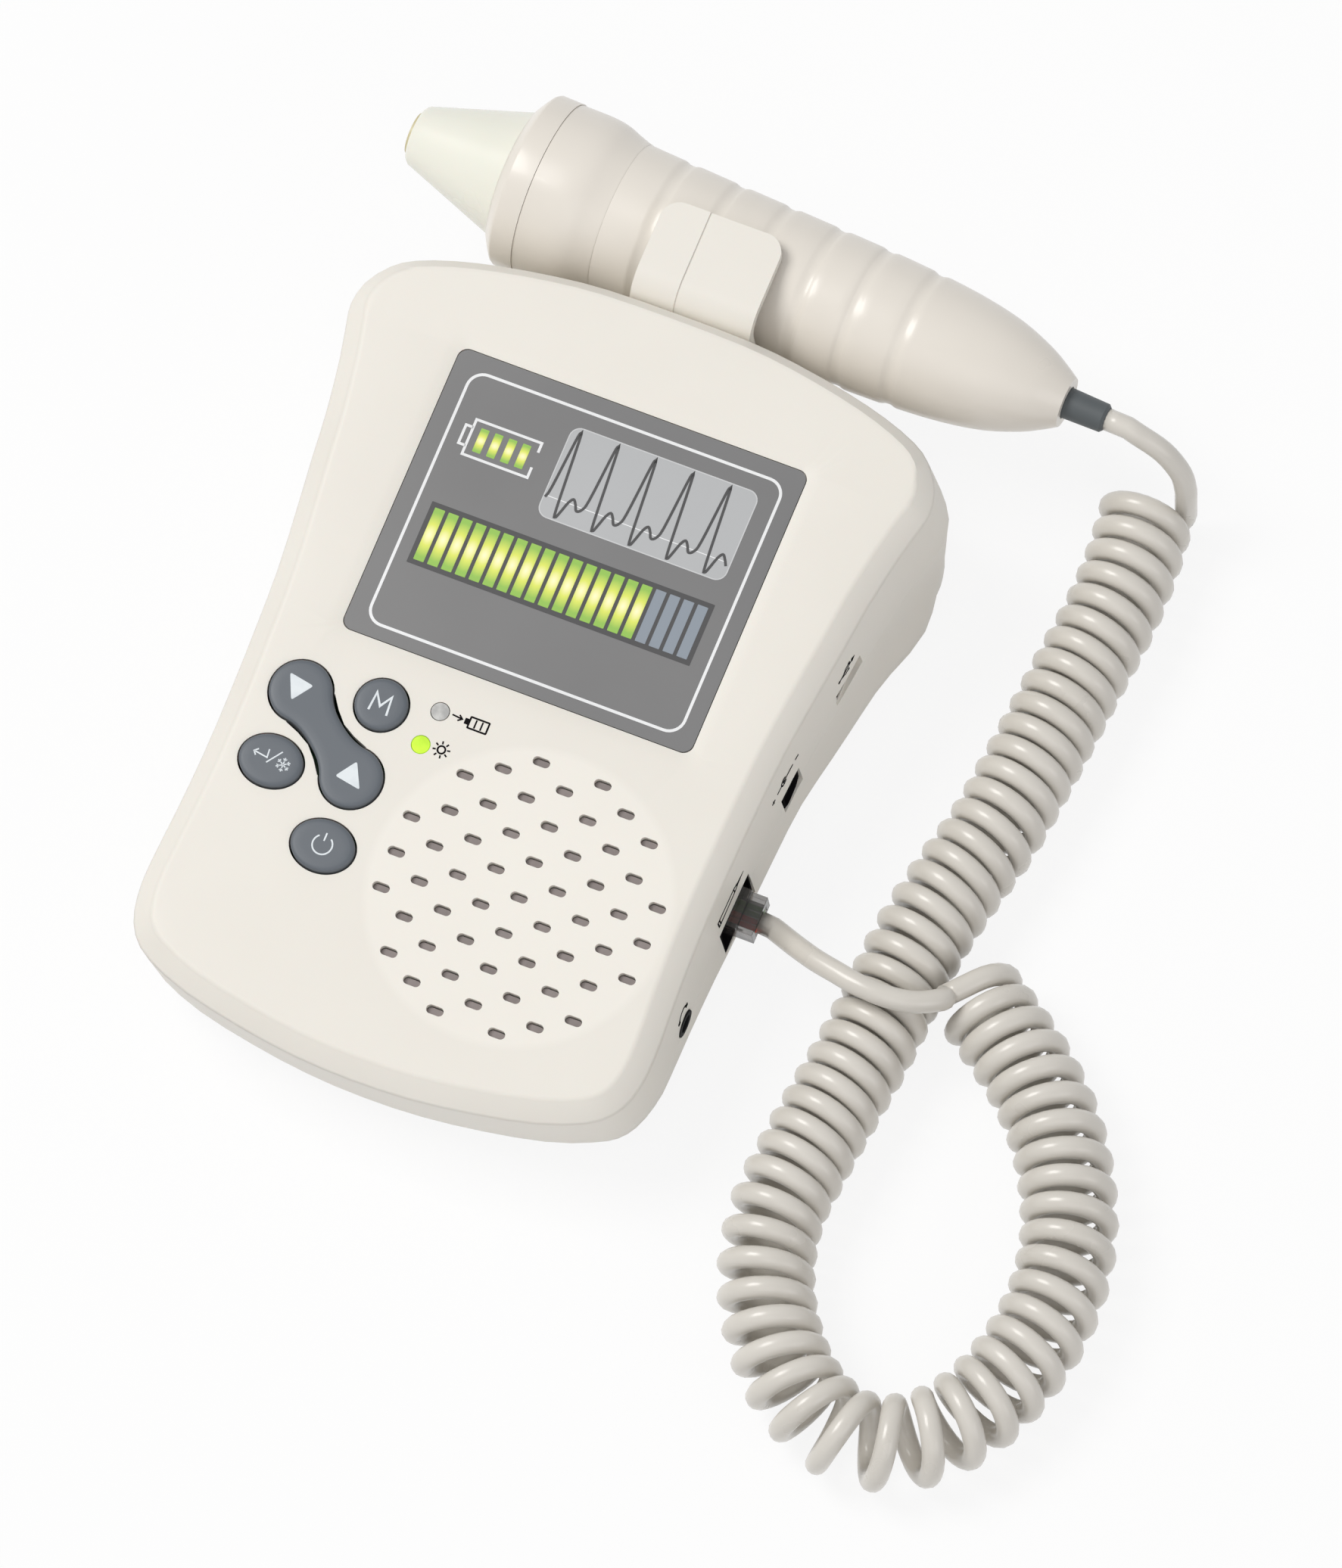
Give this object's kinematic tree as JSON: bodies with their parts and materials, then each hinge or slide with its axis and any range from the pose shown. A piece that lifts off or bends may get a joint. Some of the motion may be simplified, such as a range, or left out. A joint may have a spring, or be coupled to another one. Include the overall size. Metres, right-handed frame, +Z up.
{
  "type": "doppler blood flow meter",
  "caption": "Handheld doppler blood flow meter with a tilted display, soft keys, a slotted speaker and a pencil probe held in an end clip, joined by a curly lead.",
  "frame": {"origin": "on the table under the middle of the box of the case and the clipped probe, with the lead left out", "axes": "+Z up, +Y from the speaker end towards the clip, +X towards the side with the ports; the face slopes by 7.5 degrees, high at the clip end"},
  "size_m": [0.202, 0.2233, 0.0506],
  "materials": {
    "case_plastic": "fine satin texture, ivory",
    "window": "smooth grey printed window",
    "display_metal": "pressed frame",
    "display_glass": "panel",
    "circuit_board": "green solder mask",
    "switch_plastic": "black moulding",
    "key_plastic": "slate, soft satin",
    "pivot_steel": "turned pin",
    "charge_lens": "unlit lens",
    "power_lens": "lit green lens",
    "speaker_paper": "pressed paper cone",
    "magnet_iron": "sintered magnet",
    "screw_steel": "zinc plated",
    "port_metal": "plated shell",
    "cell_wrap": "shrink sleeve",
    "foot_rubber": "soft pad",
    "lens_resin": "cast resin face",
    "crystal": "silvered ceramic",
    "backing_resin": "filled resin",
    "cone_plastic": "smooth greenish white",
    "probe_plastic": "smooth satin ivory",
    "relief_rubber": "grey boot",
    "lead_vinyl": "smooth warm grey vinyl",
    "plug_clear": "smoky clear moulding",
    "contact_gold": "gilt blades",
    "wire_red": "coloured cores"
  },
  "bodies": {
    "case": {"upper_shell": "case_plastic", "lower_shell": "case_plastic", "display_window": "window", "display_frame": "display_metal", "display_panel": "display_glass", "main_board": "circuit_board", "key_switches": "switch_plastic", "rocker_pivot": "pivot_steel", "charge_lamp": "charge_lens", "power_lamp": "power_lens", "speaker_basket": "switch_plastic", "speaker_cone": "speaker_paper", "speaker_magnet": "magnet_iron", "speaker_screws": "screw_steel", "probe_socket": "switch_plastic", "usb_socket": "port_metal", "charger_socket": "switch_plastic", "headphone_jack": "switch_plastic", "battery_cells": "cell_wrap", "battery_contacts": "display_metal", "battery_cover": "case_plastic", "cover_screws": "screw_steel", "case_screws": "screw_steel", "feet": "foot_rubber", "probe_clip": "case_plastic", "clip_screws": "screw_steel", "cord_probe_end": "lead_vinyl", "cord_coil": "lead_vinyl", "cord_plug_end": "lead_vinyl", "plug_body": "plug_clear", "plug_contacts": "contact_gold", "plug_wires": "wire_red"},
    "mode_key": {"mode_key": "key_plastic"},
    "rocker_key": {"rocker_key": "key_plastic"},
    "enter_key": {"enter_key": "key_plastic"},
    "power_key": {"power_key": "key_plastic"},
    "probe": {"probe_face": "lens_resin", "probe_crystals": "crystal", "probe_backing": "backing_resin", "probe_cone": "cone_plastic", "probe_ring": "probe_plastic", "handle_near_half": "probe_plastic", "handle_far_half": "probe_plastic", "probe_board": "circuit_board", "strain_relief": "relief_rubber"},
    "plug_latch": {"plug_latch": "plug_clear"}
  },
  "joints": [
    {"name": "mode_press", "type": "slide", "parent": "case", "child": "mode_key", "axis": [0, 0.1305, -0.9914], "range_m": [0, 0.0006], "stiffness_N_per_m": 800},
    {"name": "enter_press", "type": "slide", "parent": "case", "child": "enter_key", "axis": [0, 0.1305, -0.9914], "range_m": [0, 0.0006], "stiffness_N_per_m": 800},
    {"name": "power_press", "type": "slide", "parent": "case", "child": "power_key", "axis": [0, 0.1305, -0.9914], "range_m": [0, 0.0006], "stiffness_N_per_m": 800},
    {"name": "rocker_tilt", "type": "hinge", "parent": "case", "child": "rocker_key", "pos_m": [-0.03612, -0.03832, 0.03184], "axis": [0.6208, 0.7772, 0.1023], "range_deg": [-2.5, 2.5], "stiffness_Nm_per_rad": 0.08},
    {"name": "probe_slide", "type": "slide", "parent": "case", "child": "probe", "axis": [0, 0.9914, 0.1305], "range_m": [0, 0.04]},
    {"name": "latch_flex", "type": "hinge", "parent": "case", "child": "plug_latch", "pos_m": [0.03083, -0.03484, 0.01232], "axis": [0, -0.9914, -0.1305], "range_deg": [0, 6], "stiffness_Nm_per_rad": 0.02}
  ]
}
